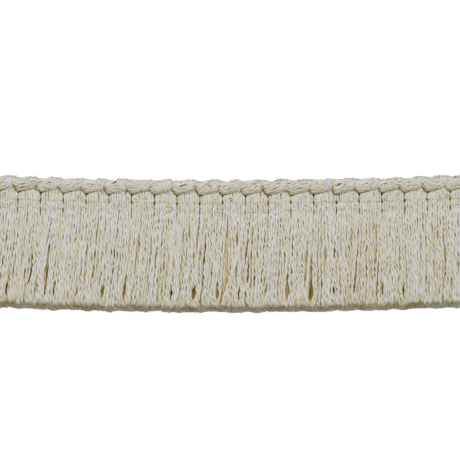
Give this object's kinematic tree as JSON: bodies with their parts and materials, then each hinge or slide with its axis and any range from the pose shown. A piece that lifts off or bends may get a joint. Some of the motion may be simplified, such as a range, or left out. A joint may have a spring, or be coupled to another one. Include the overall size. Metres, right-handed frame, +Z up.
{
  "type": "brush fringe",
  "caption": "Straight cut length of brush fringe: soft twisted yarns cut level, hanging from a stitched heading with a rolled, lobed upper edge, laid flat.",
  "frame": {"origin": "on the surface that the fringe lies on, under the middle of its footprint", "axes": "+X along the length; +Y from the cut ends of the skirt to the rolled edge; +Z up, out of the fringe's face"},
  "size_m": [0.1454, 0.0404, 0.0051],
  "materials": {
    "edge_yarn": "soft matt cotton yarn, pale stone",
    "heading_yarn": "soft matt cotton yarn under chain stitch, pale stone",
    "skirt_yarn": "loosely twisted two-ply cotton yarn, pale stone with a faint lustre"
  },
  "bodies": {
    "root": {"edge_roll": "edge_yarn", "heading_row": "heading_yarn", "brush_skirt": "skirt_yarn"}
  },
  "joints": []
}
